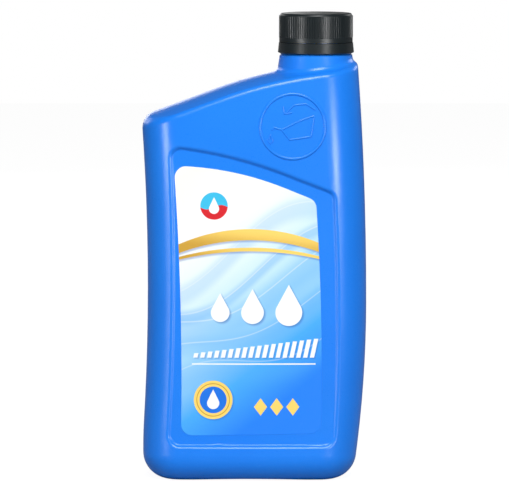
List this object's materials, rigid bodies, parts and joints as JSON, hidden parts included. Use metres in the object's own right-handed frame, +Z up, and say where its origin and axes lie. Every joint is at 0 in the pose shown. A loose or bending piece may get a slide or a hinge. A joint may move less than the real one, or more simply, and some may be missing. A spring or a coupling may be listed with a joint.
{
  "type": "motor oil bottle",
  "caption": "Blue blow-moulded plastic quart bottle with an off-centre neck, sunk label panels, a printed front label and a black ribbed screw cap.",
  "frame": {"origin": "middle of the bottle's plan, on the plane it stands on", "axes": "+Z up, front with the label towards -Y, neck towards +X"},
  "size_m": [0.1116, 0.056, 0.2323],
  "materials": {
    "bottle_plastic": "satin",
    "cap_plastic": "matte",
    "band_plastic": "matte",
    "label_film": "gloss",
    "liner_foam": "matte"
  },
  "bodies": {
    "bottle": {"bottle": "bottle_plastic", "tamper_band": "band_plastic", "front_label": "label_film"},
    "liner": {"cap_liner": "liner_foam"},
    "cap": {"screw_cap": "cap_plastic"}
  },
  "joints": [
    {"name": "cap_lift", "type": "slide", "parent": "bottle", "child": "liner", "axis": [0, 0, 1], "range_m": [0, 0.01693]},
    {"name": "cap_turn", "type": "hinge", "parent": "liner", "child": "cap", "pos_m": [0.0306, 0, 0.225], "axis": [0, 0, 1], "range_deg": [0, 1440]}
  ],
  "couplings": [
    {"joint": "cap_lift", "follows": "cap_turn", "m_per_rad": 0.00067322}
  ]
}
